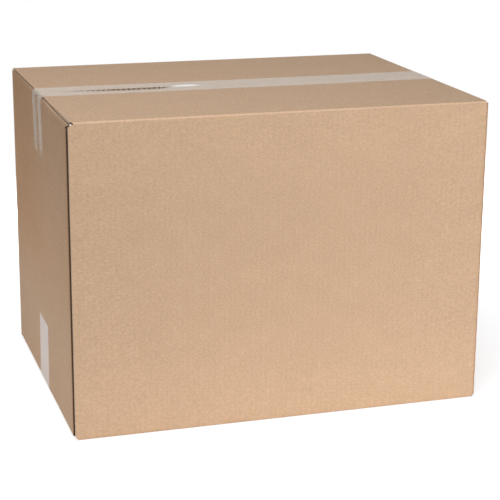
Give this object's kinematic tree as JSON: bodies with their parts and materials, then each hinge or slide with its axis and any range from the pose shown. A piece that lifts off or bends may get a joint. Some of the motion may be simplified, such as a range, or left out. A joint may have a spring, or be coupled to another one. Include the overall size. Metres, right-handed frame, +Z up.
{
  "type": "closed cardboard box",
  "caption": "Large closed shipping carton of single-wall corrugated board, flaps folded shut and taped along the top and bottom seams.",
  "frame": {"origin": "middle of the underside, on the bottom tape that the carton stands on", "axes": "+X along the length and the taped seams, -Y the wide front panel with the glued corner at its left, +Z up"},
  "size_m": [0.6182, 0.465, 0.4572],
  "materials": {
    "kraft_board": "matte kraft liner with a fine fibre grain",
    "clear_tape": "clear packing tape, satin, milky where it has lifted"
  },
  "bodies": {
    "root": {"carton": "kraft_board", "top_tape": "clear_tape", "bottom_tape": "clear_tape"}
  },
  "joints": []
}
